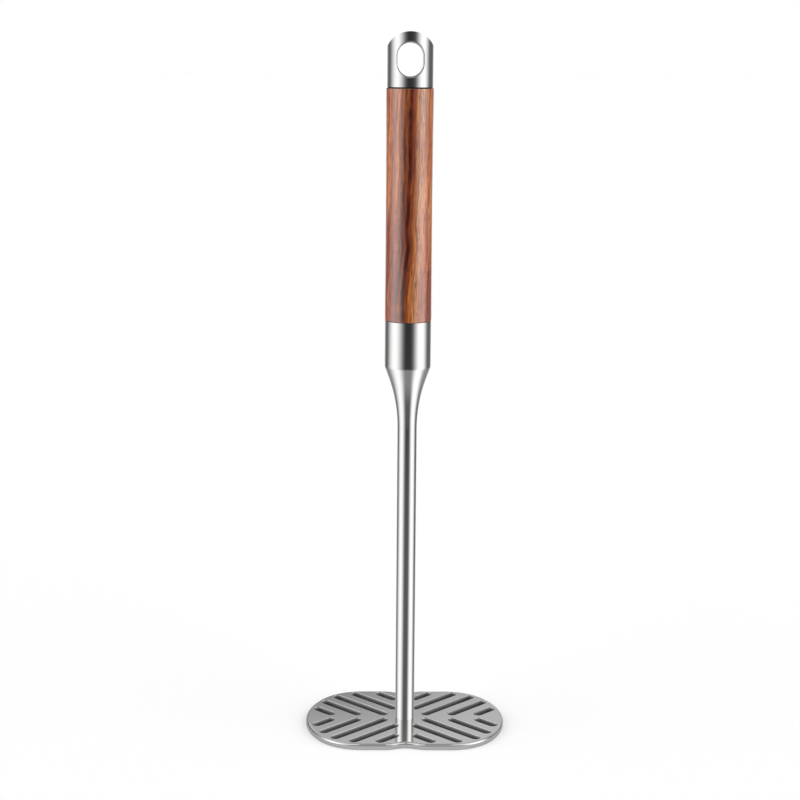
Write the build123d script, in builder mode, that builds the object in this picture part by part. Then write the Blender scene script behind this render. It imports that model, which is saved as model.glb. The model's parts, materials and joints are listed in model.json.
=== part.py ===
from build123d import *
import os
from math import cos, radians, sin, sqrt, tan

# A potato masher: a slotted oval plate on a steel rod, with a wood grip held between a steel
# bolster and an end cap to hang it by. Sizes are in millimetres. Z runs up the rod from the
# plate's underside, X runs along the plate, and the front of the masher faces -Y.

# Mashing plate
plate_length = 97.0
plate_width = 72.0
plate_thickness = 3.0
plate_end_radius = 46.0  # of the two shallow arcs that close its ends
plate_corner_radius = 24.0
plate_edge_chamfer = 0.7
scoop_depth = 2.2  # the scoop in the middle of the front and back edges
scoop_radius = 12.0

# Herringbone of slots, five in each quarter of the plate
slots_per_quarter = 5
slot_width = 4.6
slot_angle = 45.0
slot_pitch = 13.0  # from one slot's centre line to the next, along X
first_slot_crossing = 32.4  # where the outermost centre lines cross the long axis
slot_rim = 2.1  # steel left between a slot's outer end and the plate's edge
spine_offset = 4.1  # centre of a slot's inner end, from the plate's long axis
waist_offset = 5.4  # the same, from the plate's short axis

# Rod, with a tenon at each end
rod_diameter = 9.2
rod_length = 145.5  # the part that shows, from the plate to the bolster's neck
tenon_diameter = 6.0
upper_tenon_length = 14.0
tenon_clearance = 0.05  # all round

# Bolster: a cylinder over a cone that runs out in a long arc to the rod's diameter
bolster_diameter = 21.8
bolster_cylinder_length = 22.0
neck_angle = 20.0  # between the cone and the axis
neck_arc_radius = 70.0
bolster_shoulder_radius = 2.0

# Spigots on the bolster and the cap, which centre the grip
spigot_diameter = 12.0
bolster_spigot_length = 8.0
cap_spigot_length = 12.0
spigot_clearance = 0.1

# Wood grip
grip_length = 108.0
grip_end_diameter = 22.0
grip_waist_diameter = 21.6
grip_edge_chamfer = 0.4
joint_chamfer = 0.3  # on the steel edges next to the wood

# End cap
cap_diameter = 21.2
cap_height = 25.3
cap_arch_radius = 12.0
cap_arch_chamfer = 0.15
hanging_hole_width = 12.1
hanging_hole_height = 15.3
hanging_hole_centre = 12.75  # above the wood
hanging_hole_chamfer = 0.8

# Stud inside the grip
stud_diameter = 6.0
stud_bore_clearance = 0.05
stud_into_bolster = 12.0  # how far it goes below the bolster's top face
stud_into_cap = 1.2  # how far it goes above the cap's lower face
grip_bore_diameter = 7.0

# Heights of the joints
rod_foot = plate_thickness
neck_foot = rod_foot + rod_length
neck_arc_reach = (1 - cos(radians(neck_angle))) * neck_arc_radius
neck_arc_height = sin(radians(neck_angle)) * neck_arc_radius
neck_cone_reach = (bolster_diameter - rod_diameter) / 2 - neck_arc_reach
neck_cone_height = neck_cone_reach / tan(radians(neck_angle))
bolster_shoulder = neck_foot + neck_arc_height + neck_cone_height
grip_foot = bolster_shoulder + bolster_cylinder_length
grip_top = grip_foot + grip_length
stud_foot = grip_foot - stud_into_bolster
stud_top = grip_top + stud_into_cap

# Where the ends of the plate's straight sides would be if its corners were sharp
plate_side_reach = (
    plate_length / 2 - plate_end_radius + sqrt(plate_end_radius**2 - (plate_width / 2) ** 2)
)

# Plan of the plate before its scoops: straight sides, arcs for the ends, rounded corners
with BuildSketch() as plate_oval:
    with BuildLine():
        right_end = ThreePointArc(
            (plate_side_reach, -plate_width / 2),
            (plate_length / 2, 0),
            (plate_side_reach, plate_width / 2),
        )
        left_end = ThreePointArc(
            (-plate_side_reach, plate_width / 2),
            (-plate_length / 2, 0),
            (-plate_side_reach, -plate_width / 2),
        )
        Line(right_end @ 1, left_end @ 0)
        Line(left_end @ 1, right_end @ 0)
    make_face()
    fillet(plate_oval.vertices(), radius=plate_corner_radius)

# Where the centre lines of the slots may run in the back left quarter
with BuildSketch() as slot_field:
    add(plate_oval.sketch)
    offset(amount=-slot_rim - slot_width / 2, mode=Mode.REPLACE)
    with Locations((-waist_offset, spine_offset)):
        Rectangle(
            plate_length / 2,
            plate_width / 2,
            align=(Align.MAX, Align.MIN),
            mode=Mode.INTERSECT,
        )

# Mashing plate, with the rod's tenon hole in the middle
with BuildPart() as mashing_plate:
    with BuildSketch() as plate_outline:
        add(plate_oval.sketch)
        scoop_centre = plate_width / 2 - scoop_depth + scoop_radius
        with Locations((0, scoop_centre), (0, -scoop_centre)):
            Circle(scoop_radius, mode=Mode.SUBTRACT)
        scoop_corners = plate_outline.vertices().filter_by(lambda v: abs(v.X) < scoop_radius)
        fillet(scoop_corners, radius=scoop_radius)
    extrude(amount=plate_thickness)
    chamfer(mashing_plate.edges().filter_by(Plane.XY), length=plate_edge_chamfer)
    with BuildSketch():
        for number in range(slots_per_quarter):
            crossing = number * slot_pitch - first_slot_crossing
            diagonal = Line((crossing, 0), (crossing - plate_width, plate_width))
            centre_line = slot_field.sketch.intersect(diagonal).edge()
            middle = centre_line @ 0.5
            for side in (1, -1):
                for end in (1, -1):
                    with Locations((middle.X * side, middle.Y * end)):
                        SlotCenterToCenter(
                            centre_line.length,
                            slot_width,
                            rotation=-slot_angle * side * end,
                        )
    extrude(amount=plate_thickness, mode=Mode.SUBTRACT)
    with Locations((0, 0, plate_thickness)):
        Hole(tenon_diameter / 2 + tenon_clearance)
mashing_plate.part.label = "mashing_plate"

# Rod, with its lower tenon flush with the plate's underside
with BuildPart() as rod:
    with BuildSketch(Plane.XY.offset(rod_foot)):
        Circle(rod_diameter / 2)
    extrude(amount=rod_length)
    with BuildSketch():
        Circle(tenon_diameter / 2)
    extrude(amount=neck_foot + upper_tenon_length)
rod.part.label = "rod"

# Bolster, turned in one piece with its neck and the spigot for the grip
with BuildPart() as bolster:
    with BuildSketch(Plane.XZ) as bolster_profile:
        with BuildLine():
            Line((0, neck_foot), (rod_diameter / 2, neck_foot))
            neck_arc = JernArc(
                start=(rod_diameter / 2, neck_foot),
                tangent=(0, 1),
                radius=neck_arc_radius,
                arc_size=-neck_angle,
            )
            Polyline(
                neck_arc @ 1,
                (bolster_diameter / 2, bolster_shoulder),
                (bolster_diameter / 2, grip_foot),
                (spigot_diameter / 2, grip_foot),
                (spigot_diameter / 2, grip_foot + bolster_spigot_length),
                (0, grip_foot + bolster_spigot_length),
                (0, neck_foot),
            )
        make_face()
        widest = bolster_profile.vertices().group_by(Axis.X)[-1].sort_by(Axis.Y)
        fillet(widest[0], radius=bolster_shoulder_radius)
        chamfer(widest[-1], length=joint_chamfer)
    revolve(axis=Axis.Z)
    with Locations(Plane.XY.offset(neck_foot)):
        Cylinder(
            tenon_diameter / 2 + tenon_clearance,
            upper_tenon_length,
            align=(Align.CENTER, Align.CENTER, Align.MIN),
            mode=Mode.SUBTRACT,
        )
    with Locations(Plane.XY.offset(stud_foot)):
        Cylinder(
            stud_diameter / 2 + stud_bore_clearance,
            stud_into_bolster + bolster_spigot_length,
            align=(Align.CENTER, Align.CENTER, Align.MIN),
            mode=Mode.SUBTRACT,
        )
bolster.part.label = "bolster"

# Wood grip: a sleeve with a slight waist, bored for the stud and counterbored for the spigots
with BuildPart() as wood_grip:
    with BuildSketch(Plane.XZ) as grip_profile:
        with BuildLine():
            Polyline(
                (grip_end_diameter / 2, grip_foot),
                (0, grip_foot),
                (0, grip_top),
                (grip_end_diameter / 2, grip_top),
            )
            ThreePointArc(
                (grip_end_diameter / 2, grip_top),
                (grip_waist_diameter / 2, (grip_foot + grip_top) / 2),
                (grip_end_diameter / 2, grip_foot),
            )
        make_face()
        chamfer(grip_profile.vertices().group_by(Axis.X)[-1], length=grip_edge_chamfer)
    revolve(axis=Axis.Z)
    with Locations(Plane.XY.offset(grip_top)):
        CounterBoreHole(
            radius=grip_bore_diameter / 2,
            counter_bore_radius=spigot_diameter / 2 + spigot_clearance,
            counter_bore_depth=cap_spigot_length + spigot_clearance,
        )
    with Locations(Plane.XY.offset(grip_foot)):
        Cylinder(
            spigot_diameter / 2 + spigot_clearance,
            bolster_spigot_length + spigot_clearance,
            align=(Align.CENTER, Align.CENTER, Align.MIN),
            mode=Mode.SUBTRACT,
        )
wood_grip.part.label = "wood_grip"

# End cap: a turning with a spigot, cut to an arch seen from the front, with its hanging hole
cap_foot = grip_top - cap_spigot_length
cap_top = grip_top + cap_height
arch_centre = cap_top - cap_arch_radius
with BuildPart() as end_cap:
    with BuildSketch(Plane.XY.offset(cap_foot)):
        Circle(spigot_diameter / 2)
    extrude(amount=cap_spigot_length)
    with BuildSketch(Plane.XY.offset(grip_top)):
        Circle(cap_diameter / 2)
    extrude(amount=cap_height)
    cap_rims = end_cap.edges().filter_by(GeomType.CIRCLE).filter_by_position(Axis.Z, grip_top, grip_top)
    chamfer(cap_rims.sort_by(SortBy.RADIUS)[-1], length=joint_chamfer)
    with BuildSketch(Plane.XZ):
        with Locations((0, arch_centre)):
            Circle(cap_arch_radius)
            Rectangle(2 * cap_arch_radius, arch_centre - cap_foot, align=(Align.CENTER, Align.MAX))
    extrude(amount=cap_diameter, both=True, mode=Mode.INTERSECT)
    arch_edges = end_cap.edges().filter_by(lambda e: e.center().Z > arch_centre)
    chamfer(arch_edges, length=cap_arch_chamfer)
    edges_before_hole = end_cap.edges()
    with BuildSketch(Plane.XZ):
        with Locations((0, grip_top + hanging_hole_centre)):
            SlotOverall(hanging_hole_height, hanging_hole_width, rotation=90)
    extrude(amount=cap_diameter, both=True, mode=Mode.SUBTRACT)
    mouth_edges = (end_cap.edges() - edges_before_hole).filter_by(Axis.Y, reverse=True)
    chamfer(mouth_edges, length=hanging_hole_chamfer)
    with Locations(Plane.XY.offset(cap_foot)):
        Cylinder(
            stud_diameter / 2 + stud_bore_clearance,
            cap_spigot_length + stud_into_cap,
            align=(Align.CENTER, Align.CENTER, Align.MIN),
            mode=Mode.SUBTRACT,
        )
end_cap.part.label = "end_cap"

# Stud that holds the bolster, the grip and the cap together
with BuildPart() as tie_rod:
    with BuildSketch(Plane.XY.offset(stud_foot)):
        Circle(stud_diameter / 2)
    extrude(amount=stud_top - stud_foot)
tie_rod.part.label = "tie_rod"

os.makedirs("parts", exist_ok=True)
export_step(mashing_plate.part, "parts/mashing_plate.step")
export_step(rod.part, "parts/rod.step")
export_step(bolster.part, "parts/bolster.step")
export_step(wood_grip.part, "parts/wood_grip.step")
export_step(end_cap.part, "parts/end_cap.step")
export_step(tie_rod.part, "parts/tie_rod.step")
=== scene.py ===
import json
from math import atan2, copysign, cos, degrees, pi, radians, sin, sqrt

import bmesh
import bpy
from mathutils import Matrix, Vector


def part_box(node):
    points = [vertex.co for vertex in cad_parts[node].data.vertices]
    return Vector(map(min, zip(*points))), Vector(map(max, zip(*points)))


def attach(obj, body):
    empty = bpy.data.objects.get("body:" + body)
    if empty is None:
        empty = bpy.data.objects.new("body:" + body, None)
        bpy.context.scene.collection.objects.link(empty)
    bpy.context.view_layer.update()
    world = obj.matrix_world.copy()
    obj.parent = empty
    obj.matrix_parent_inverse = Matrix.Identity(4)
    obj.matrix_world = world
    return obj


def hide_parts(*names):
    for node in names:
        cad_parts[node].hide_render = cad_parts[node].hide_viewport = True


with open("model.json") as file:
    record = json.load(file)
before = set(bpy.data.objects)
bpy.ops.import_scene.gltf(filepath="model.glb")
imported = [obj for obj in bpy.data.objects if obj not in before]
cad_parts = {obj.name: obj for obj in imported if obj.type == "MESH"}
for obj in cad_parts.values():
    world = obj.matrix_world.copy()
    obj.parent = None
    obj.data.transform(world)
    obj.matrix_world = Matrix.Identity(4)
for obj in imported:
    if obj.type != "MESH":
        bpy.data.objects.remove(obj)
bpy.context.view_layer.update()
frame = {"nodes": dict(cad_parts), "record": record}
nodes = frame["nodes"]

# Read from the frame: the plate's box, the top of the wood and the middle of the hanging hole
plate_low, plate_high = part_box("mashing_plate")
grip_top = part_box("wood_grip")[1].z
mounts = {mount["name"]: mount for mount in frame["record"]["mounts"]}
hole_height = mounts["hanging_hole"]["pos_m"][2]

# The photograph's camera, found from the foreshortening of the round rims and the slotted plate.
# Its lens is in millimetres, and the other lengths are in metres.
camera_lens = 78.5
camera_distance = 0.8154
camera_height = 0.3179
camera_sideways = -0.0035
camera_pitch = radians(10.836)
camera_yaw = radians(0.885)
camera_roll = radians(0.467)

# Softened edges, in metres
plate_rim_top = 0.0012
plate_rim_foot = 0.0004
slot_softness = 0.0002
wood_edge_softness = 0.00025
wood_edge_angle = radians(25)
flat_face_angle = radians(50)
softness_segments = 5
weld_distance = 1e-6

# The end cap's barrel and its hanging hole: an upright oblong with round ends, through along Y. The
# straight part of its sides reaches hole_straight up and down from its middle.
cap_radius = 0.0106
hole_radius = 0.00605
hole_straight = 0.0016
hole_mouth_reach = 0.0009
hole_wall_sag = 2e-5
hole_wall_reach = 3e-5
arch_edge_reach = 0.0004
arch_bevel_slopes = (0.3, 0.95)

# Steel
handle_steel_colour = (0.62, 0.62, 0.615)
plate_steel_colour = (0.61, 0.61, 0.605)
stud_steel_colour = (0.45, 0.45, 0.45)

# The slots' walls: share of the plate's height, and grey. The greys are painted shade, darkest at the foot,
# where the slot is deep.
slot_wall_shade_greys = [(0.1, 0.05), (0.35, 0.065), (0.55, 0.105), (0.72, 0.2), (0.92, 0.34)]

# How far the grain sways and ripples, in metres, and how much it leans, about a height
grain_sway = 0.006
grain_ripple = 0.0009
grain_lean = 0.04
grain_lean_height = 0.25

# The wood's tones, from its darkest growth bands to its lightest
hardwood_tones = [
    (0.34, (0.130, 0.018, 0.006)),
    (0.43, (0.300, 0.055, 0.014)),
    (0.50, (0.450, 0.108, 0.026)),
    (0.57, (0.590, 0.185, 0.048)),
    (0.66, (0.740, 0.310, 0.100)),
]
fibre_tones = [(0.3, (0.62, 0.54, 0.50)), (0.7, (1.24, 1.22, 1.18))]
pore_colour = (0.06, 0.010, 0.006)
# A darker band with less oil just under the cap: its colour, and its reach in metres below the top of the
# wood
cap_joint_dark_colour = (0.012, 0.010, 0.010)
cap_joint_dark_reach = (0.0002, 0.0006)

# The veins of the grip: place across the grain and width in metres, colour, and strength
hardwood_veins = [
    (-0.0017, 0.0062, (0.150, 0.026, 0.008), 0.75),
    (-0.0036, 0.0010, (0.070, 0.008, 0.004), 0.75),
    (-0.0012, 0.0013, (0.055, 0.006, 0.003), 0.95),
    (-0.0024, 0.0008, (0.340, 0.070, 0.012), 0.7),
    (0.0006, 0.0008, (0.330, 0.060, 0.012), 0.7),
    (0.0021, 0.0012, (0.560, 0.190, 0.030), 0.85),
    (0.0044, 0.0018, (0.640, 0.290, 0.110), 0.7),
    (0.0078, 0.0008, (0.300, 0.060, 0.020), 0.6),
    (-0.0056, 0.0010, (0.300, 0.060, 0.022), 0.6),
    (-0.0088, 0.0008, (0.260, 0.050, 0.018), 0.5),
]

# The studio around the masher, as the steel sees it. Azimuth 0 is towards the camera, and angles
# are in degrees. A band is a glow and the two angles between which it takes over.
shell_radius = 4.0
shell_centre_height = 0.17
shell_segments = 240
shell_start = -91  # below its lowest point, so the shell is whole

# Ahead of the masher: dark flags with a light strip above them, which has one dark gap, and then
# a ceiling that is brighter to both sides
front_flag_glow = 0.045
front_flag_edge = (0.11, 6, 24)
front_strip_foot = (0.42, 6, 14)
front_strip_gap = (15, 18)
front_strip_top = (0.42, 18, 20.5)
front_ceiling_glow = 0.6
front_ceiling_side = (1.3, 4, 14)
front_ceiling_rise = (26, 40)
front_low = (0.15, 8, 18)
front_floor = (0.35, 28, 48)

# Behind the masher. The plate's top mirrors what is just above above_plate_start: on the left and
# on the right, a glow there and how much it gains with each degree.
rear_turn = (60, 110)
rear_flag_glow = 0.17
rear_low = (0.5, 5, 45)
rear_middle = (0.6, 140, 158)
rear_high = (0.62, 21, 27)
above_plate_start = 17.9
above_plate_reach = (-0.6, 3)
above_plate_left = (0.33, 0.17)
above_plate_right = (0.63, 0.065)
above_plate_join = (-2.5, 4.5)
above_plate_turn = (100, 140)
above_plate_rise = (6, 14)

# Softboxes to the left and the right. Each has a front edge, towards the camera, and a rear edge,
# with a half width and a softness. The bands say how its glow is multiplied with height.
softbox_left = {"side": -1, "centre": 70, "front": (27.5, 26), "rear": (29, 28), "glow": 1.60}
softbox_right = {"side": 1, "centre": 66, "front": (23.5, 22), "rear": (27, 21), "glow": 1.68}
softbox_gains = [(1.42, 8, 18), (1.0, 26, 36), (0.55, 34, 56)]
softbox_low_reach = (3, 0, 9)
softbox_rear_growth = 0.5
softbox_rear_growth_start = 18

# Straight above and below
zenith = (0.3, 66, 80)
nadir = (0.35, 60, 75)

# The hood over the end cap
cap_hood_radius = 0.09
cap_hood_segments = 72
cap_hood_start = 26
cap_hood_low_glow = 0.06
cap_hood_top = (0.4, 48, 68)

# The light that falls on the wood and the floor. Steel mirrors the floor only where it is nearer
# than near_reflection, in metres, and outside an oval: the one that holds the plate, drawn in to
# the scoops. The square of its share of that oval is scoop_reach.
world_fill = 0.3
world_side_fill = 1.8
lamp_softness = radians(50)
floor_reach = 60
floor_colour = (0.7, 0.7, 0.7)
floor_lift = 0.3
near_reflection = 0.029
scoop_reach = 0.88


# Shader nodes

def add_node(tree, kind, **settings):
    node = tree.nodes.new(kind)
    for name, value in settings.items():
        setattr(node, name, value)
    return node


def connect(tree, value, socket):
    """Feeds a socket with another node's output, or sets it to a number, a vector or a colour."""
    if hasattr(value, "is_linked"):
        tree.links.new(value, socket)
    elif socket.type == "RGBA":
        socket.default_value = (*value, 1)
    else:
        socket.default_value = value


def feed(tree, node, inputs):
    """Feeds several of a node's inputs, given by name."""
    for name, value in inputs.items():
        connect(tree, value, node.inputs[name])


def blank_material(name):
    """A material with only its output node. Returns its node tree and its surface input too."""
    material = bpy.data.materials.new(name)
    material.use_nodes = True
    tree = material.node_tree
    tree.nodes.clear()
    output = add_node(tree, "ShaderNodeOutputMaterial")
    return material, tree, output.inputs["Surface"]


def place_on_object(tree):
    return add_node(tree, "ShaderNodeTexCoord").outputs["Object"]


def axes_of(tree, vector):
    """The X, Y and Z of a vector."""
    node = add_node(tree, "ShaderNodeSeparateXYZ")
    connect(tree, vector, node.inputs[0])
    return tuple(node.outputs)


def math_node(tree, operation, *values):
    """A Math node. Each value is a number or another node's output."""
    node = add_node(tree, "ShaderNodeMath", operation=operation)
    for socket, value in zip(node.inputs, values):
        connect(tree, value, socket)
    return node.outputs[0]


def remap(tree, value, low, high, start=0.0, end=1.0, curve="SMOOTHSTEP"):
    """Carries a value over from the range low to high to the range start to end."""
    node = add_node(tree, "ShaderNodeMapRange", interpolation_type=curve)
    feed(tree, node, {"Value": value, "From Min": low, "From Max": high, "To Min": start, "To Max": end})
    return node.outputs["Result"]


def colour_ramp(tree, factor, stops):
    """A Color Ramp. Each of its stops is a place and a colour."""
    node = add_node(tree, "ShaderNodeValToRGB")
    elements = node.color_ramp.elements
    while len(elements) < len(stops):
        elements.new(0.5)
    for element, (place, colour) in zip(elements, stops):
        element.position = place
        element.color = (*colour, 1)
    connect(tree, factor, node.inputs["Fac"])
    return node.outputs["Color"]


def mix_colours(tree, factor, first, second, blend="MIX"):
    node = add_node(tree, "ShaderNodeMix", data_type="RGBA", blend_type=blend)
    for socket, value in ((node.inputs[0], factor), (node.inputs[6], first), (node.inputs[7], second)):
        connect(tree, value, socket)
    return node.outputs[2]


def noise(tree, coordinates, scale, detail=2.0, roughness=0.5):
    node = add_node(tree, "ShaderNodeTexNoise")
    feed(tree, node, {"Vector": coordinates, "Scale": scale, "Detail": detail, "Roughness": roughness})
    return node.outputs["Fac"]


def stretched(tree, coordinates, stretch):
    """Coordinates multiplied by a vector, to draw a texture out along one direction."""
    node = add_node(tree, "ShaderNodeVectorMath", operation="MULTIPLY")
    connect(tree, coordinates, node.inputs[0])
    connect(tree, stretch, node.inputs[1])
    return node.outputs[0]


def new_group(name, inputs, outputs):
    """A shader node group. Each input is (name, socket type, default) and each output a pair."""
    group = bpy.data.node_groups.new(name, "ShaderNodeTree")
    for socket_name, socket_type, default in inputs:
        socket = group.interface.new_socket(socket_name, in_out="INPUT", socket_type=socket_type)
        socket.default_value = default
    for socket_name, socket_type in outputs:
        group.interface.new_socket(socket_name, in_out="OUTPUT", socket_type=socket_type)
    entry = add_node(group, "NodeGroupInput")
    leave = add_node(group, "NodeGroupOutput")
    return group, entry, leave


def place_group(tree, group, **inputs):
    """Places a node group with its own values. Returns its outputs."""
    node = add_node(tree, "ShaderNodeGroup", node_tree=group)
    feed(tree, node, inputs)
    return node.outputs


def add_relief(tree, shader, height, strength, depth):
    """Gives a shader a fine relief from a height that changes over the surface."""
    bump = add_node(tree, "ShaderNodeBump")
    feed(tree, bump, {"Strength": strength, "Distance": depth, "Height": height})
    connect(tree, bump.outputs["Normal"], shader.inputs["Normal"])


# Steel

def polish_marks_group():
    """Fine marks that polishing leaves in steel, drawn out along the direction of the belt."""
    group, entry, leave = new_group(
        "polish marks",
        [
            ("Stretch", "NodeSocketVector", (1.0, 1.0, 0.02)),
            ("Fineness", "NodeSocketFloat", 3000.0),
            ("Roughness", "NodeSocketFloat", 0.1),
            ("Spread", "NodeSocketFloat", 0.03),
        ],
        [("Roughness", "NodeSocketFloat"), ("Height", "NodeSocketFloat")],
    )
    place = place_on_object(group)
    drawn_out = stretched(group, place, entry.outputs["Stretch"])
    lines = noise(group, drawn_out, entry.outputs["Fineness"], detail=3.0)
    smears = noise(group, place, 60.0, detail=3.0)
    centred = math_node(group, "SUBTRACT", math_node(group, "ADD", lines, smears), 1.0)
    change = math_node(group, "MULTIPLY", centred, entry.outputs["Spread"])
    roughness = math_node(group, "ADD", change, entry.outputs["Roughness"])
    feed(group, leave, {"Roughness": roughness, "Height": lines})
    return group


def polish(tree, shader, marks, stretch, roughness, spread, mark_depth):
    """Gives a shader the roughness and relief of polishing marks. They run along the axis that
    stretch makes short."""
    finish = place_group(tree, marks, Stretch=stretch, Roughness=roughness, Spread=spread)
    connect(tree, finish["Roughness"], shader.inputs["Roughness"])
    add_relief(tree, shader, finish["Height"], 0.2, mark_depth)


def steel(name, base_colour, **finish):
    """Stainless steel with the given finish."""
    material, tree, surface = blank_material(name)
    shader = add_node(tree, "ShaderNodeBsdfPrincipled")
    feed(tree, shader, {"Base Color": base_colour, "Metallic": 1.0})
    polish(tree, shader, **finish)
    connect(tree, shader.outputs[0], surface)
    return material


def shaded_slot_wall_steel(name, **finish):
    """The slots' walls: dull grey steel, with painted shade that makes them darker towards the foot, where
    the slot is deep.
    """
    material, tree, surface = blank_material(name)
    # Painted shade: the walls' grey is set darker towards the foot, where the slot is deep and shaded
    height = axes_of(tree, place_on_object(tree))[2]
    share = math_node(tree, "DIVIDE", height, plate_high.z)
    tone = colour_ramp(tree, share, [(place, (grey, grey, grey)) for place, grey in slot_wall_shade_greys])
    shader = add_node(tree, "ShaderNodeBsdfPrincipled")
    feed(tree, shader, {"Base Color": tone, "Specular IOR Level": 0.08})
    polish(tree, shader, **finish)
    connect(tree, shader.outputs[0], surface)
    return material


# Wood

def vein_group():
    """A streak that runs up the wood, thins and fades on its way: 1 on its middle line and 0 at its
    edges. Place and Width are in metres across the grain."""
    group, entry, leave = new_group(
        "vein",
        [
            ("Across", "NodeSocketFloat", 0.0),
            ("Along", "NodeSocketFloat", 0.0),
            ("Place", "NodeSocketFloat", 0.0),
            ("Width", "NodeSocketFloat", 0.001),
        ],
        [("Mask", "NodeSocketFloat")],
    )
    offset = math_node(group, "SUBTRACT", entry.outputs["Across"], entry.outputs["Place"])
    distance = math_node(group, "DIVIDE", math_node(group, "ABSOLUTE", offset), entry.outputs["Width"])
    across_fade = remap(group, distance, 0.2, 1.0, 1.0, 0.0, "SMOOTHERSTEP")
    spot = add_node(group, "ShaderNodeCombineXYZ")
    own_place = math_node(group, "MULTIPLY", entry.outputs["Place"], 31.0)
    feed(group, spot, {"X": own_place, "Z": entry.outputs["Along"]})
    along_fade = remap(group, noise(group, spot.outputs[0], 62.0), 0.34, 0.52, 0.25, 1.0)
    connect(group, math_node(group, "MULTIPLY", across_fade, along_fade), leave.inputs["Mask"])
    return group


def swaying_grain(tree):
    """Coordinates that sway slowly from side to side as they rise. Returns the place across the
    grain, the height, and both of them with the depth as a vector."""
    place = place_on_object(tree)
    sideways, depth, height = axes_of(tree, place)
    slow = noise(tree, stretched(tree, place, (0.6, 0.6, 1.0)), 28.0)
    quick = noise(tree, stretched(tree, place, (0.5, 0.5, 1.0)), 130.0)
    sway = math_node(tree, "MULTIPLY", math_node(tree, "SUBTRACT", slow, 0.5), grain_sway)
    ripple = math_node(tree, "MULTIPLY", math_node(tree, "SUBTRACT", quick, 0.5), grain_ripple)
    rise = math_node(tree, "SUBTRACT", height, grain_lean_height)
    lean = math_node(tree, "MULTIPLY", rise, grain_lean)
    across = math_node(tree, "ADD", sideways, sway)
    across = math_node(tree, "ADD", across, ripple)
    across = math_node(tree, "SUBTRACT", across, lean)
    grain = add_node(tree, "ShaderNodeCombineXYZ")
    feed(tree, grain, {"X": across, "Y": depth, "Z": height})
    return across, height, grain.outputs[0]


def figured_colour(tree, vein, across, height, grain):
    """Growth bands from dark red-brown to light orange-brown, narrower streaks in them, and veins."""
    bands = noise(tree, stretched(tree, grain, (1.0, 0.45, 0.03)), 420.0, roughness=0.55)
    streaks = noise(tree, stretched(tree, grain, (1.0, 0.6, 0.025)), 1150.0, roughness=0.6)
    wide = math_node(tree, "MULTIPLY", bands, 0.6)
    narrow = math_node(tree, "MULTIPLY", streaks, 0.4)
    colour = colour_ramp(tree, math_node(tree, "ADD", wide, narrow), hardwood_tones)
    for place, width, tint, strength in hardwood_veins:
        mask = place_group(tree, vein, Across=across, Along=height, Place=place, Width=width)
        share = math_node(tree, "MULTIPLY", mask["Mask"], strength)
        colour = mix_colours(tree, share, colour, tint)
    return colour


def oiled_hardwood(vein):
    """Oiled red-brown hardwood. Its grain runs up the grip, with dark and orange veins, fine fibres
    and short dark pores. It is darker and less oiled in a thin band at its top, where it meets the cap."""
    material, tree, surface = blank_material("oiled_hardwood")
    across, height, grain = swaying_grain(tree)
    colour = figured_colour(tree, vein, across, height, grain)

    fibres = noise(tree, stretched(tree, grain, (1.0, 1.0, 0.03)), 2400.0, detail=3.0)
    colour = mix_colours(tree, 1.0, colour, colour_ramp(tree, fibres, fibre_tones), "MULTIPLY")
    pores = noise(tree, stretched(tree, grain, (1.0, 1.0, 0.1)), 1900.0, detail=1.0)
    pores = remap(tree, pores, 0.58, 0.67)
    colour = mix_colours(tree, math_node(tree, "MULTIPLY", pores, 0.6), colour, pore_colour)

    # Darker, with less oil, in a thin band just under the cap
    below_cap = math_node(tree, "SUBTRACT", grip_top, height)
    cap_joint_dark = remap(tree, below_cap, *cap_joint_dark_reach, 1.0, 0.0)
    colour = mix_colours(tree, cap_joint_dark, colour, cap_joint_dark_colour)

    shader = add_node(tree, "ShaderNodeBsdfPrincipled")
    roughness = math_node(tree, "ADD", math_node(tree, "MULTIPLY", fibres, 0.12), 0.28)
    oil = math_node(tree, "SUBTRACT", 1.0, math_node(tree, "MULTIPLY", cap_joint_dark, 0.8))
    feed(tree, shader, {
        "Base Color": colour,
        "Roughness": roughness,
        "Specular IOR Level": 0.06,
        "Coat Weight": oil,
        "Coat Roughness": 0.1,
        "Coat IOR": 2.1,
    })
    add_relief(tree, shader, math_node(tree, "SUBTRACT", fibres, pores), 0.35, 8e-5)
    connect(tree, shader.outputs[0], surface)
    return material


# Pieces

def welded_mesh(data):
    """A bmesh of mesh data, with the vertices that lie together made one."""
    mesh = bmesh.new()
    mesh.from_mesh(data)
    bmesh.ops.remove_doubles(mesh, verts=mesh.verts, dist=weld_distance)
    return mesh


def mesh_data(mesh, name):
    """Turns a bmesh into mesh data and frees it."""
    data = bpy.data.meshes.new(name)
    mesh.to_mesh(data)
    mesh.free()
    return data


def new_object(name, data):
    thing = bpy.data.objects.new(name, data)
    bpy.context.scene.collection.objects.link(thing)
    return thing


def new_piece(name, data, node_name):
    """A piece of the masher that replaces one CAD node."""
    piece = new_object(name, data)
    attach(piece, "root")
    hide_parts(node_name)
    return piece


def smooth_faces(mesh):
    for face in mesh.faces:
        face.smooth = True


def paint(piece, material):
    piece.data.materials.clear()
    piece.data.materials.append(material)


def grip_sleeve():
    """The wood grip with its sharp edges rounded. Its flat ends stay flat."""
    mesh = welded_mesh(nodes["wood_grip"].data)
    sharp = [edge for edge in mesh.edges if edge.is_manifold and edge.calc_face_angle() > wood_edge_angle]
    bmesh.ops.bevel(
        mesh,
        geom=sharp,
        offset=wood_edge_softness,
        offset_type="OFFSET",
        segments=softness_segments,
        profile=0.5,
        affect="EDGES",
        clamp_overlap=True,
    )
    smooth_faces(mesh)
    data = mesh_data(mesh, "grip_sleeve")
    data.set_sharp_from_angle(angle=flat_face_angle)
    piece = new_piece("grip_sleeve", data, "wood_grip")
    piece.modifiers.new("even shading", "WEIGHTED_NORMAL").keep_sharp = True
    return piece


# The end cap

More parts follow.
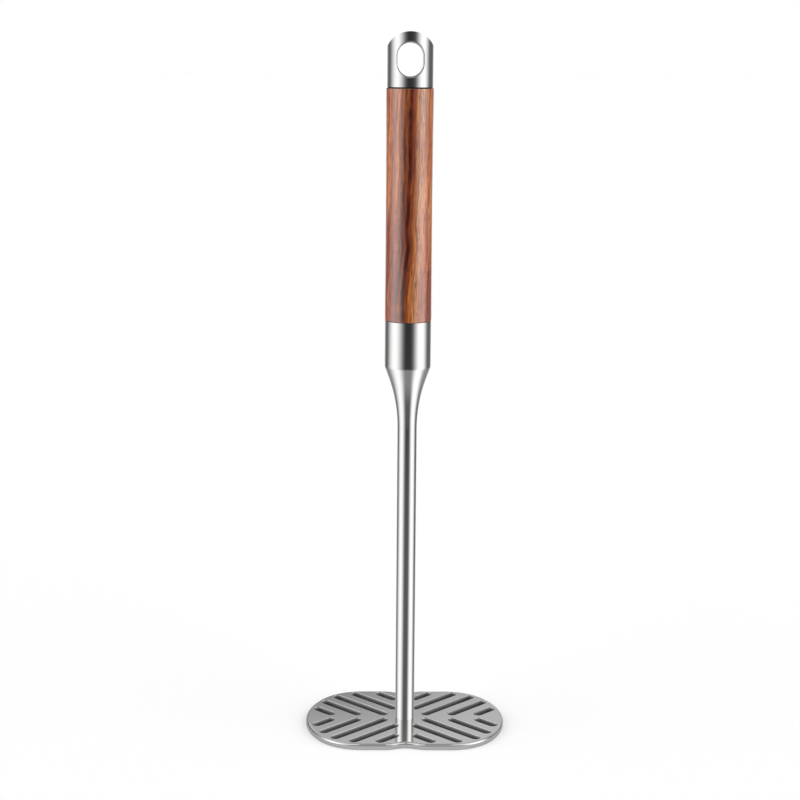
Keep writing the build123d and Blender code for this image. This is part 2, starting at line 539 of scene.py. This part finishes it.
def from_hole(point):
    """Seen from the front: how far a point lies outside the hanging hole's wall, the direction from
    the wall to it, and its place round the hole."""
    rise = point.z - hole_height
    middle = min(max(rise, -hole_straight), hole_straight)
    away = Vector((point.x, 0, rise - middle))
    direction = away.normalized()
    foot = direction * hole_radius + Vector((0, 0, middle))
    return away.length - hole_radius, direction, atan2(foot.z, foot.x)


def off_barrel(point):
    """The direction straight out of the cap's barrel at a point on it."""
    return Vector((point.x, point.y, 0)).normalized()


def ring_around(vertices):
    """A ring round the hole: sorted pairs of a place round it and a vertex there."""
    ring = [(from_hole(vertex.co)[2], vertex) for vertex in vertices]
    return sorted(ring, key=lambda pair: pair[0])


def point_on_ring(ring, place):
    """Where a ring passes a place round the hole."""
    after = next((index for index, pair in enumerate(ring) if pair[0] >= place), 0)
    before_place, before = ring[after - 1]
    after_place, following = ring[after]
    share = ((place - before_place) % (2 * pi)) / ((after_place - before_place) % (2 * pi))
    return before.co.lerp(following.co, share)


def ring_step(ring, step):
    """The place and the vertex so many steps round a ring. Its places grow past its end too."""
    place, vertex = ring[step % len(ring)]
    return place + 2 * pi * (step // len(ring)), vertex


def joined_rings(mesh, inner, outer):
    """Triangles between two rings that may have different numbers of vertices."""
    faces = []
    step_in = step_out = 0
    while step_in < len(inner) or step_out < len(outer):
        here = ring_step(inner, step_in)[1]
        there = ring_step(outer, step_out)[1]
        next_in, corner_in = ring_step(inner, step_in + 1)
        next_out, corner_out = ring_step(outer, step_out + 1)
        if step_out == len(outer) or (step_in < len(inner) and next_in <= next_out):
            faces.append(mesh.faces.new((here, corner_in, there)))
            step_in += 1
        else:
            faces.append(mesh.faces.new((here, corner_out, there)))
            step_out += 1
    return faces


def mouth_bevel(mesh, side):
    """The faces of the bevel round one mouth of the hanging hole."""
    bevel = set()
    for face in mesh.faces:
        gaps = [from_hole(vertex.co)[0] for vertex in face.verts]
        near_wall = min(gaps) > -hole_wall_sag and hole_wall_reach < max(gaps) < hole_mouth_reach
        if near_wall and face.calc_center_median().y * side > 0:
            bevel.add(face)
    return bevel


def rounded_mouth(mesh, kept_normal, side):
    """Replaces the bevel round one mouth of the hanging hole by a rounded edge."""
    bevel = mouth_bevel(mesh, side)
    edges = {edge for face in bevel for edge in face.edges}
    border = [edge for edge in edges if sum(face in bevel for face in edge.link_faces) == 1]
    border_vertices = {vertex for edge in border for vertex in edge.verts}
    on_wall = {vertex for vertex in border_vertices if from_hole(vertex.co)[0] < hole_wall_reach}
    wall = ring_around(on_wall)
    outside = ring_around(border_vertices - on_wall)
    bmesh.ops.delete(mesh, geom=list(bevel), context="FACES_KEEP_BOUNDARY")
    normals = {}
    rings = [wall]
    for step in range(1, softness_segments):
        share = step / softness_segments
        ring = []
        for place, vertex in wall:
            start = vertex.co
            corner = Vector((start.x, side * sqrt(cap_radius ** 2 - start.x ** 2), start.z))
            end = point_on_ring(outside, place)
            spot = mesh.verts.new(start.lerp(corner, share).lerp(corner.lerp(end, share), share))
            into_hole = -from_hole(start)[1] * (corner - start).length * (1 - share)
            outward = off_barrel(end) * (end - corner).length * share
            normals[spot] = (into_hole + outward).normalized()
            ring.append((place, spot))
        rings.append(ring)
    rings.append(outside)
    for place, vertex in wall:
        normals[vertex] = -from_hole(vertex.co)[1]
    for place, vertex in outside:
        normals[vertex] = off_barrel(vertex.co)
    for inner, outer in zip(rings, rings[1:]):
        for face in joined_rings(mesh, inner, outer):
            for loop in face.loops:
                loop[kept_normal] = normals[loop.vert]


def is_arch_bevel(face):
    """Whether a face is part of the narrow bevel along the cap's arch."""
    middle = face.calc_center_median()
    if middle.z < hole_height or middle.xy.length < cap_radius - arch_edge_reach:
        return False
    low, high = arch_bevel_slopes
    return from_hole(middle)[0] > hole_mouth_reach and low < face.normal.z < high


def arched_cap():
    """The end cap with the bevelled mouths of its hanging hole made round. The narrow bevel along
    its arch is shaded like the barrel, so that it draws no line."""
    source = nodes["end_cap"].data.copy()
    kept = source.attributes.new("kept_normal", "FLOAT_VECTOR", "CORNER")
    kept.data.foreach_set("vector", [value for normal in source.corner_normals for value in normal.vector])
    mesh = welded_mesh(source)
    bpy.data.meshes.remove(source)
    kept_normal = mesh.loops.layers.float_vector["kept_normal"]
    for side in (-1, 1):
        rounded_mouth(mesh, kept_normal, side)
    bmesh.ops.recalc_face_normals(mesh, faces=mesh.faces)
    smooth_faces(mesh)
    for face in mesh.faces:
        if is_arch_bevel(face):
            for loop in face.loops:
                loop[kept_normal] = off_barrel(loop.vert.co)
    data = mesh_data(mesh, "arched_cap")
    normals = [item.vector.copy() for item in data.attributes["kept_normal"].data]
    data.attributes.remove(data.attributes["kept_normal"])
    data.normals_split_custom_set(normals)
    return new_piece("arched_cap", data, "end_cap")


# The mashing plate

def closed_chains(edges):
    """Orders loose edges into closed loops, each a list of points."""
    partners = {}
    for edge in edges:
        for first, second in (edge.verts, reversed(edge.verts)):
            partners.setdefault(first, []).append(second)
    chains = []
    while partners:
        start = next(iter(partners))
        chain = [start]
        step = partners.pop(start)[0]
        while step in partners:
            chain.append(step)
            following = [vertex for vertex in partners.pop(step) if vertex in partners]
            if not following:
                break
            step = following[0]
        chains.append([vertex.co.xy.copy() for vertex in chain])
    return chains


def plate_outlines():
    """The plate's plan, read from its CAD node: the rim at its widest, and every opening."""
    mesh = welded_mesh(nodes["mashing_plate"].data)
    wall_tops = []
    for edge in mesh.edges:
        slopes = sorted(abs(face.normal.z) for face in edge.link_faces)
        level = abs(edge.verts[0].co.z - edge.verts[1].co.z) < weld_distance
        high = edge.verts[0].co.z > (plate_low.z + plate_high.z) / 2
        if level and high and slopes[0] < 0.1 and slopes[-1] > 0.3:
            wall_tops.append(edge)
    chains = closed_chains(wall_tops)
    mesh.free()
    chains.sort(key=lambda chain: max(point.x for point in chain) - min(point.x for point in chain))
    return chains[-1], chains[:-1]


def signed_area(points):
    pairs = zip(points, points[1:] + points[:1])
    return sum(first.x * second.y - second.x * first.y for first, second in pairs) / 2


def inward_directions(points):
    """For each point of a loop, the direction into the steel, which lies on the loop's left."""
    directions = []
    for index, point in enumerate(points):
        along = points[(index + 1) % len(points)] - points[index - 1]
        directions.append(Vector((-along.y, along.x)).normalized())
    return directions


def quarter_round(softness):
    """A rounded edge from its flat face down to its wall: inset, drop and turn of each point."""
    turns = [radians(90) * step / softness_segments for step in range(softness_segments + 1)]
    return [(softness * (1 - sin(turn)), softness * (1 - cos(turn)), turn) for turn in turns]


def wall_profile(foot_softness, top_softness):
    """A wall with rounded edges, from its foot up: the inset and height of each point, and how much
    its normal points up and out."""
    foot = []
    for inset, rise, turn in quarter_round(foot_softness):
        foot.append((inset, plate_low.z + rise, -cos(turn), sin(turn)))
    top = []
    for inset, drop, turn in quarter_round(top_softness):
        top.append((inset, plate_high.z - drop, cos(turn), sin(turn)))
    return foot + top[::-1]


def rounded_wall(mesh, normals, points, foot_softness, top_softness):
    """The wall that stands on a loop, with its lower and upper edges rounded. Adds each vertex's
    normal to normals. Returns the wall's lowest and highest rings of edges, where the flat faces
    start, and the faces of its upright part."""
    directions = inward_directions(points)
    rings = []
    for inset, height, upward, outward in wall_profile(foot_softness, top_softness):
        ring = []
        for point, direction in zip(points, directions):
            ring.append(mesh.verts.new((*(point + direction * inset), height)))
            normals.append((-direction.x * outward, -direction.y * outward, upward))
        rings.append(ring)
    upright = []
    for number, (below, above) in enumerate(zip(rings, rings[1:])):
        for index in range(len(points)):
            corners = (below[index - 1], below[index], above[index], above[index - 1])
            face = mesh.faces.new(corners)
            if number == softness_segments:
                upright.append(face)
    ends = []
    for ring in (rings[0], rings[-1]):
        ends.append([mesh.edges.get((ring[index - 1], ring[index])) for index in range(len(ring))])
    return ends[0], ends[1], upright


def slotted_plate():
    """The mashing plate with softly rounded edges. Its slot walls have a second, duller finish, whose greys
    hold painted shade.
    """
    rim, openings = plate_outlines()
    mesh = bmesh.new()
    normals = []
    bottom_edges = []
    top_edges = []
    for points in [rim] + openings:
        is_rim = points is rim
        if (signed_area(points) > 0) != is_rim:
            points = points[::-1]
        softness = (plate_rim_foot, plate_rim_top) if is_rim else (slot_softness, slot_softness)
        bottom, top, upright = rounded_wall(mesh, normals, points, *softness)
        bottom_edges += bottom
        top_edges += top
        if not is_rim:
            for face in upright:
                face.material_index = 1
    for edges in (bottom_edges, top_edges):
        bmesh.ops.triangle_fill(mesh, edges=edges, use_beauty=True)
    bmesh.ops.recalc_face_normals(mesh, faces=mesh.faces)
    smooth_faces(mesh)
    data = mesh_data(mesh, "slotted_plate")
    data.normals_split_custom_set_from_vertices(normals)
    return new_piece("slotted_plate", data, "mashing_plate")


# The finished masher

marks = polish_marks_group()
plate_steel = steel(
    "plate_steel",
    plate_steel_colour,
    marks=marks,
    stretch=(0.03, 1.0, 1.0),
    roughness=0.08,
    spread=0.03,
    mark_depth=2e-6,
)
# The slot walls' dull steel, with painted shade in its greys
shaded_cut_steel = shaded_slot_wall_steel(
    "shaded_cut_steel",
    marks=marks,
    stretch=(1.0, 1.0, 0.1),
    roughness=0.55,
    spread=0.1,
    mark_depth=5e-6,
)
handle_steel = steel(
    "handle_steel",
    handle_steel_colour,
    marks=marks,
    stretch=(1.0, 1.0, 0.015),
    roughness=0.1,
    spread=0.03,
    mark_depth=2e-6,
)
stud_steel = steel(
    "stud_steel",
    stud_steel_colour,
    marks=marks,
    stretch=(1.0, 1.0, 1.0),
    roughness=0.35,
    spread=0.1,
    mark_depth=4e-6,
)

# The rod and the slots' edges mirror the studio, and not the plate
plate = slotted_plate()
plate.visible_glossy = False
for material in (plate_steel, shaded_cut_steel):
    plate.data.materials.append(material)
paint(grip_sleeve(), oiled_hardwood(vein_group()))
for piece in (nodes["rod"], nodes["bolster"], arched_cap()):
    paint(piece, handle_steel)
paint(nodes["tie_rod"], stud_steel)


# Studio

def smooth_step(low, high, value):
    """0 below low, 1 above high, and a smooth curve between them."""
    share = min(max((value - low) / (high - low), 0), 1)
    return share * share * (3 - 2 * share)


def between(first, second, share):
    return first + (second - first) * share


def with_band(glow, band, angle):
    """A glow, or that of a band where the band has taken over."""
    band_glow, start, end = band
    return between(glow, band_glow, smooth_step(start, end, angle))


def front_glow(turn, elevation):
    """The glow ahead of the masher, turn degrees to either side of the camera."""
    flag = with_band(front_flag_glow, front_flag_edge, turn)
    glow = with_band(flag, front_strip_foot, elevation)
    glow = with_band(glow, (flag, *front_strip_gap), elevation)
    glow = with_band(glow, front_strip_top, elevation)
    ceiling = with_band(front_ceiling_glow, front_ceiling_side, turn)
    glow = with_band(glow, (ceiling, *front_ceiling_rise), elevation)
    glow = with_band(glow, front_low, -elevation)
    return with_band(glow, front_floor, -elevation)


def rear_glow(azimuth, elevation):
    """The glow behind the masher. Above the middle it differs from the left to the right."""
    turn = abs(azimuth)
    glow = with_band(rear_flag_glow, rear_low, -elevation)
    glow = with_band(glow, rear_middle, turn)
    lowest, highest = above_plate_reach
    climb = min(max(elevation - above_plate_start, lowest), highest)
    left, right = (start + slope * climb for start, slope in (above_plate_left, above_plate_right))
    above = between(left, right, smooth_step(*above_plate_join, copysign(180 - turn, azimuth)))
    above = with_band(above, rear_high, elevation)
    above = between(glow, above, smooth_step(*above_plate_turn, turn))
    return between(glow, above, smooth_step(*above_plate_rise, elevation))


def softbox_share(box, azimuth, elevation):
    """How much of a direction one softbox fills. It is a little wider low down, and much further
    back high up."""
    away = azimuth * box["side"] - box["centre"]
    half_width, softness = box["front"] if away < 0 else box["rear"]
    reach, start, end = softbox_low_reach
    half_width += reach * smooth_step(start, end, -elevation)
    if away > 0:
        half_width += softbox_rear_growth * max(0, elevation - softbox_rear_growth_start)
    return 1 - smooth_step(half_width - softness, half_width + softness, abs(away))


def studio_glow(azimuth, elevation):
    """Brightness of the studio in one direction."""
    turn = abs(azimuth)
    front = front_glow(turn, elevation)
    glow = between(front, rear_glow(azimuth, elevation), smooth_step(*rear_turn, turn))
    gain = 1
    for band in softbox_gains:
        gain = with_band(gain, band, elevation)
    for box in (softbox_left, softbox_right):
        glow = between(glow, box["glow"] * gain, softbox_share(box, azimuth, elevation))
    glow = with_band(glow, zenith, elevation)
    return with_band(glow, nadir, -elevation)


def hood_glow(azimuth, elevation):
    """Brightness of the hood over the end cap."""
    return with_band(cap_hood_low_glow, cap_hood_top, elevation)


def reflected_shell(name, radius, centre_height, segments, start, glow_towards):
    """A sphere seen only in reflections, open below the elevation start. It shines as the function
    glow_towards says for each azimuth and elevation."""
    mesh = bmesh.new()
    bmesh.ops.create_uvsphere(mesh, u_segments=segments, v_segments=segments // 2, radius=radius)
    low = [vertex for vertex in mesh.verts if vertex.co.z < radius * sin(radians(start))]
    bmesh.ops.delete(mesh, geom=low, context="VERTS")
    data = mesh_data(mesh, name)
    glow = data.attributes.new("glow", "FLOAT", "POINT")
    for vertex, value in zip(data.vertices, glow.data):
        azimuth = degrees(atan2(vertex.co.x, -vertex.co.y))
        elevation = 90 - degrees(vertex.co.angle(Vector((0, 0, 1))))
        value.value = glow_towards(azimuth, elevation)
    material, tree, surface = blank_material(name + "_glow")
    reader = add_node(tree, "ShaderNodeAttribute", attribute_name="glow")
    light = add_node(tree, "ShaderNodeEmission")
    connect(tree, reader.outputs["Fac"], light.inputs["Strength"])
    connect(tree, light.outputs[0], surface)
    data.materials.append(material)
    shell = new_object(name, data)
    shell.location = (0, 0, centre_height)
    shell.visible_camera = False
    shell.visible_diffuse = False
    shell.visible_shadow = False
    shell.visible_transmission = False


def beside_plate(tree):
    """1 outside the oval that holds the plate, drawn in to its scoops, and 0 inside it."""
    position = add_node(tree, "ShaderNodeNewGeometry").outputs["Position"]
    sideways, back, height = axes_of(tree, position)
    sideways = math_node(tree, "DIVIDE", sideways, plate_high.x)
    back = math_node(tree, "DIVIDE", back, plate_high.y)
    sideways_squared = math_node(tree, "MULTIPLY", sideways, sideways)
    back_squared = math_node(tree, "MULTIPLY", back, back)
    reach = math_node(tree, "ADD", sideways_squared, back_squared)
    return math_node(tree, "GREATER_THAN", reach, scoop_reach)


def pale_floor():
    """Pale paper, a little lifted for the camera. The plate's rim, which nearly touches it, mirrors
    it. Other steel mirrors the studio instead."""
    material, tree, surface = blank_material("pale_floor")
    path = add_node(tree, "ShaderNodeLightPath").outputs
    paper = add_node(tree, "ShaderNodeBsdfDiffuse")
    connect(tree, floor_colour, paper.inputs["Color"])
    lift = add_node(tree, "ShaderNodeEmission")
    lift_strength = math_node(tree, "MULTIPLY", path["Is Camera Ray"], floor_lift)
    connect(tree, lift_strength, lift.inputs["Strength"])
    seen = add_node(tree, "ShaderNodeAddShader")
    connect(tree, paper.outputs[0], seen.inputs[0])
    connect(tree, lift.outputs[0], seen.inputs[1])
    near = math_node(tree, "LESS_THAN", path["Ray Length"], near_reflection)
    mirrored = math_node(tree, "MULTIPLY", near, beside_plate(tree))
    not_mirrored = math_node(tree, "SUBTRACT", 1.0, mirrored)
    either = add_node(tree, "ShaderNodeMixShader")
    connect(tree, math_node(tree, "MULTIPLY", path["Is Glossy Ray"], not_mirrored), either.inputs[0])
    connect(tree, seen.outputs[0], either.inputs[1])
    connect(tree, add_node(tree, "ShaderNodeBsdfTransparent").outputs[0], either.inputs[2])
    connect(tree, either.outputs[0], surface)
    return material


def floor_plane():
    mesh = bmesh.new()
    bmesh.ops.create_grid(mesh, x_segments=1, y_segments=1, size=floor_reach)
    floor = new_object("studio_floor", mesh_data(mesh, "studio_floor"))
    floor.data.materials.append(pale_floor())


def soft_lamp(name, azimuth, elevation, strength):
    """A broad soft lamp, far away. It lights the wood and the floor, and doesn't show in the steel."""
    light = bpy.data.lights.new(name, "SUN")
    light.energy = strength
    light.angle = lamp_softness
    lamp = new_object(name, light)
    turn = radians(azimuth)
    climb = radians(elevation)
    direction = Vector((cos(climb) * sin(turn), -cos(climb) * cos(turn), sin(climb)))
    lamp.location = direction
    lamp.rotation_euler = (-direction).to_track_quat("-Z", "Y").to_euler()
    lamp.visible_glossy = False


def white_world():
    """White wherever it is seen. As a light it is brighter from the left and the right."""
    world = bpy.data.worlds.new("white_studio")
    world.use_nodes = True
    tree = world.node_tree
    background = next(node for node in tree.nodes if node.type == "BACKGROUND")
    direction = add_node(tree, "ShaderNodeTexCoord").outputs["Generated"]
    sideways = axes_of(tree, direction)[0]
    side_light = math_node(tree, "MULTIPLY", sideways, sideways)
    side_light = math_node(tree, "MULTIPLY", side_light, world_side_fill)
    fill = math_node(tree, "ADD", side_light, world_fill)
    path = add_node(tree, "ShaderNodeLightPath").outputs
    seen = math_node(tree, "ADD", path["Is Camera Ray"], path["Is Glossy Ray"])
    seen = math_node(tree, "ADD", seen, path["Is Transmission Ray"])
    seen = math_node(tree, "MINIMUM", seen, 1.0)
    unseen = math_node(tree, "SUBTRACT", 1.0, seen)
    strength = math_node(tree, "ADD", seen, math_node(tree, "MULTIPLY", unseen, fill))
    feed(tree, background, {"Color": (1, 1, 1), "Strength": strength})
    bpy.context.scene.world = world


def photo_camera():
    lens = bpy.data.cameras.new("photo_camera")
    lens.lens = camera_lens
    lens.clip_start = 0.05
    camera = new_object("photo_camera", lens)
    towards = Vector((sin(camera_yaw), cos(camera_yaw), 0))
    forward = towards * cos(camera_pitch) - Vector((0, 0, sin(camera_pitch)))
    right = Vector((cos(camera_yaw), -sin(camera_yaw), 0))
    up = right.cross(forward)
    tilted_right = right * cos(camera_roll) + up * sin(camera_roll)
    tilted_up = up * cos(camera_roll) - right * sin(camera_roll)
    turn = Matrix((tilted_right, tilted_up, -forward)).transposed().to_4x4()
    place = right * camera_sideways - towards * camera_distance + Vector((0, 0, camera_height))
    camera.matrix_world = Matrix.Translation(place) @ turn
    bpy.context.scene.camera = camera


# The shell has the softboxes and dark flags on it. The hood stands for the dark above the
# softboxes, which end just above the cap.
reflected_shell("studio_shell", shell_radius, shell_centre_height, shell_segments, shell_start, studio_glow)
reflected_shell("cap_hood", cap_hood_radius, hole_height, cap_hood_segments, cap_hood_start, hood_glow)
floor_plane()
soft_lamp("lamp_left", azimuth=-70, elevation=35, strength=0.6)
soft_lamp("lamp_right", azimuth=65, elevation=35, strength=0.8)
white_world()
photo_camera()
bpy.context.scene.view_settings.view_transform = "Standard"
